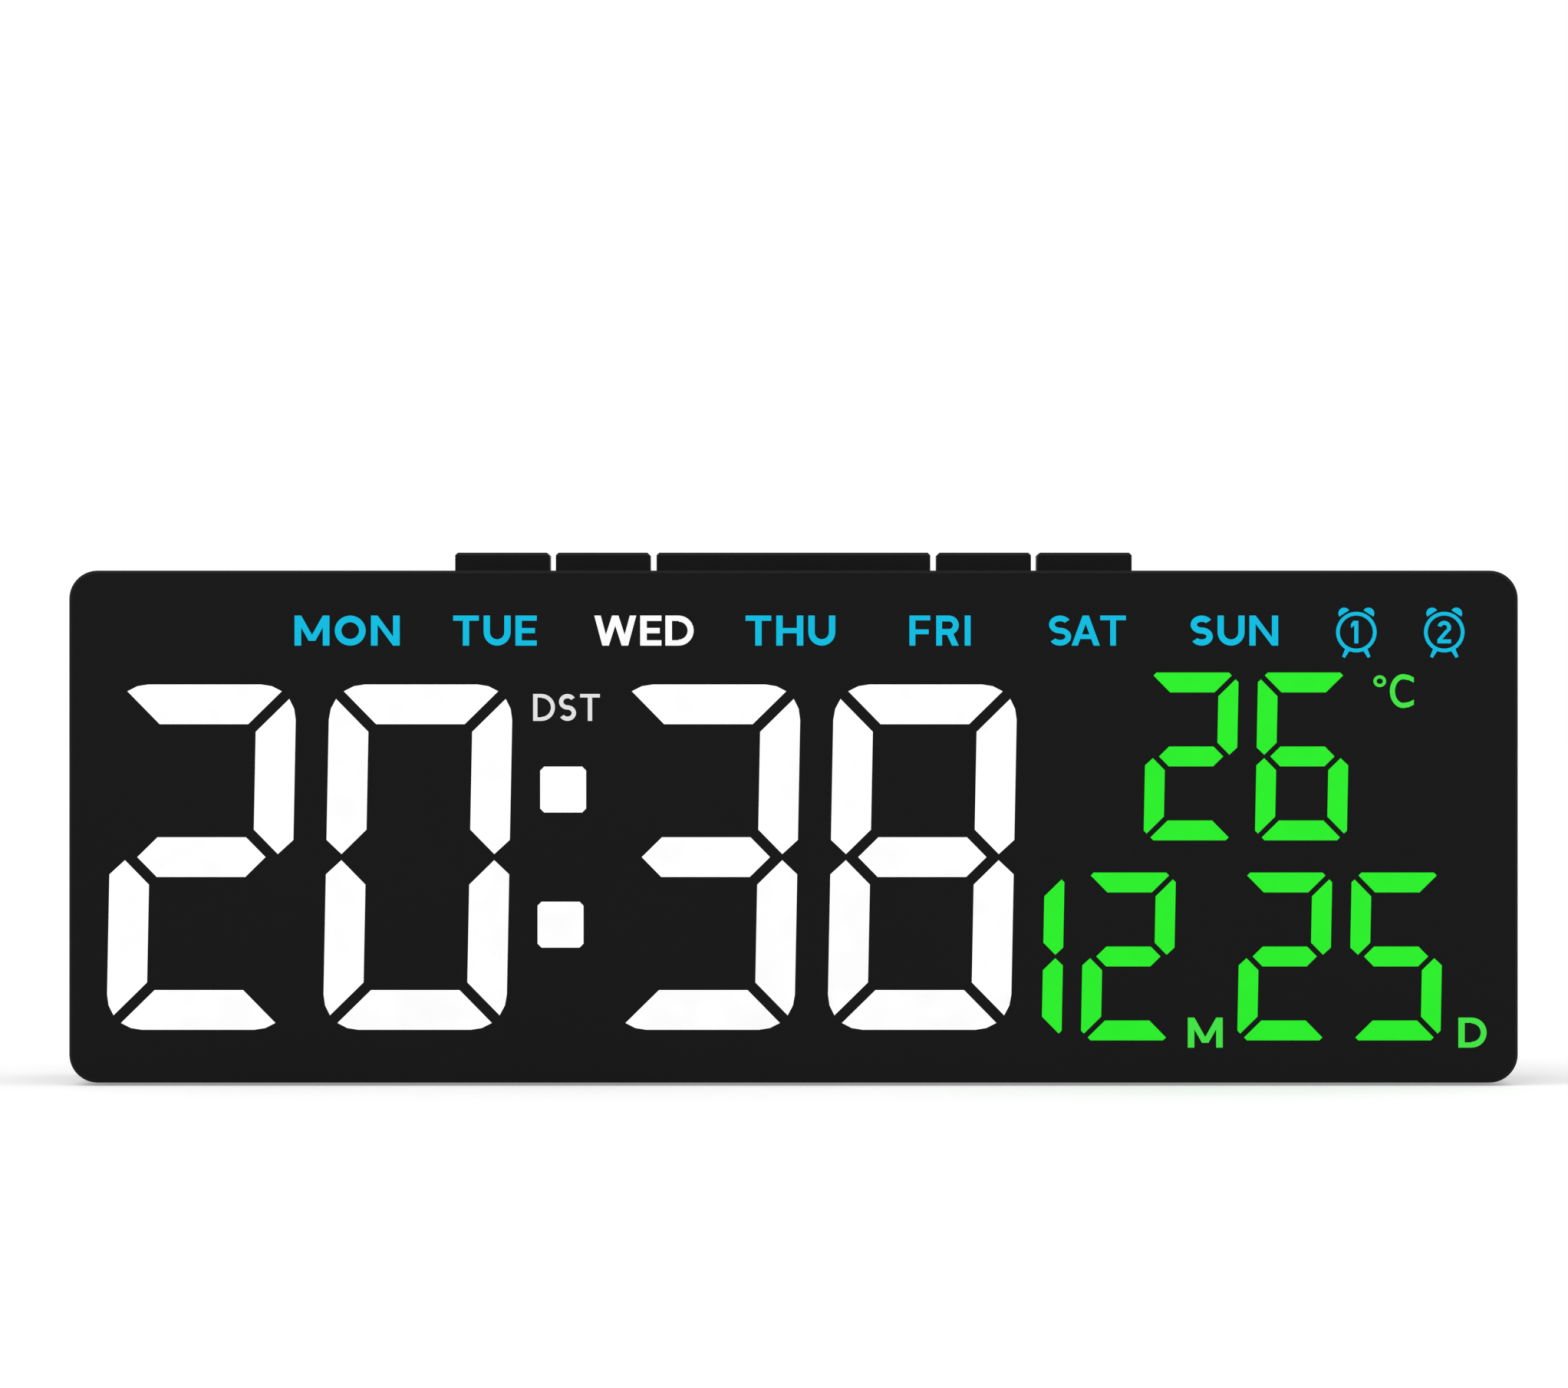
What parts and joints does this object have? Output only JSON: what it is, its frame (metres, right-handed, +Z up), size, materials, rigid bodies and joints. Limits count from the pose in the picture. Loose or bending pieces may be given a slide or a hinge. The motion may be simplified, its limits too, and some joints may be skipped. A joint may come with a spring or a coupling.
{
  "type": "digital alarm clock",
  "caption": "Wide, low digital alarm clock: black face with lit segment digits for time, temperature and date, a row of push keys on top and a battery door at the back.",
  "frame": {"origin": "on the table plane (the foot pads' undersides), in the middle of the width and depth", "axes": "+X to the right as seen from the front, +Y from the face to the back, +Z up"},
  "size_m": [0.164, 0.033, 0.0606],
  "materials": {
    "face_black": "smooth black, low gloss",
    "light_white": "milky white, lit from behind",
    "light_green": "milky green, lit from behind",
    "housing_black": "fine moulded grain",
    "key_black": "fine satin",
    "plunger_black": "satin",
    "light_box_white": "matt white",
    "circuit_board": "green solder mask, satin",
    "light_chip": "clear over pale yellow",
    "screw_steel": "bright plated",
    "screw_black": "blackened",
    "switch_black": "satin",
    "pad_rubber": "matt",
    "cell_sleeve": "printed sleeve, satin",
    "contact_steel": "nickel plated",
    "socket_steel": "drawn steel shell",
    "sensor_bead": "dipped bead",
    "buzzer_black": "satin",
    "lead_red": "soft sleeve",
    "lead_black": "soft sleeve",
    "chip_black": "matt moulded",
    "crystal_steel": "drawn can",
    "connector_white": "satin",
    "ribbon_grey": "satin"
  },
  "bodies": {
    "case": {"face_panel": "face_black", "unlit_segments": "face_black", "indicator_windows": "face_black", "colon_dots": "light_white", "front_housing": "housing_black", "rear_housing": "housing_black", "light_box": "light_box_white", "display_board": "circuit_board", "key_board": "circuit_board", "rear_board": "circuit_board", "light_chips": "light_chip", "display_board_screws": "screw_steel", "key_board_screws": "screw_steel", "rear_board_screws": "screw_steel", "housing_screws": "screw_black", "key_switches": "switch_black", "foot_pads": "pad_rubber", "battery_cells": "cell_sleeve", "battery_contacts": "contact_steel", "power_socket": "socket_steel", "temperature_sensor": "sensor_bead", "buzzer": "buzzer_black", "buzzer_leads": "lead_black", "battery_leads": "lead_red", "power_leads": "lead_red", "clock_chip": "chip_black", "quartz_crystal": "crystal_steel", "ribbon_connectors": "connector_white", "key_ribbon": "ribbon_grey", "hour_tens_segments": "light_white", "hour_units_segments": "light_white", "minute_tens_segments": "light_white", "minute_units_segments": "light_white", "temperature_tens_segments": "light_green", "temperature_units_segments": "light_green", "month_tens_segments": "light_green", "month_units_segments": "light_green", "day_tens_segments": "light_green", "day_units_segments": "light_green"},
    "mode_button": {"mode_key": "key_black", "mode_key_plunger": "plunger_black"},
    "up_button": {"up_key": "key_black", "up_key_plunger": "plunger_black"},
    "snooze_button": {"snooze_key": "key_black", "snooze_key_plunger": "plunger_black"},
    "down_button": {"down_key": "key_black", "down_key_plunger": "plunger_black"},
    "alarm_button": {"alarm_key": "key_black", "alarm_key_plunger": "plunger_black"},
    "battery_cover": {"battery_door": "housing_black"}
  },
  "joints": [
    {"name": "mode_key_press", "type": "slide", "parent": "case", "child": "mode_button", "axis": [0, 0, -1], "range_m": [0, 0.0007], "stiffness_N_per_m": 800},
    {"name": "up_key_press", "type": "slide", "parent": "case", "child": "up_button", "axis": [0, 0, -1], "range_m": [0, 0.0007], "stiffness_N_per_m": 800},
    {"name": "snooze_key_press", "type": "slide", "parent": "case", "child": "snooze_button", "axis": [0, 0, -1], "range_m": [0, 0.0007], "stiffness_N_per_m": 800},
    {"name": "down_key_press", "type": "slide", "parent": "case", "child": "down_button", "axis": [0, 0, -1], "range_m": [0, 0.0007], "stiffness_N_per_m": 800},
    {"name": "alarm_key_press", "type": "slide", "parent": "case", "child": "alarm_button", "axis": [0, 0, -1], "range_m": [0, 0.0007], "stiffness_N_per_m": 800},
    {"name": "battery_door_hinge", "type": "hinge", "parent": "case", "child": "battery_cover", "pos_m": [-0.02, 0.0165, 0.03995], "axis": [1, 0, 0], "range_deg": [0, 45]}
  ]
}
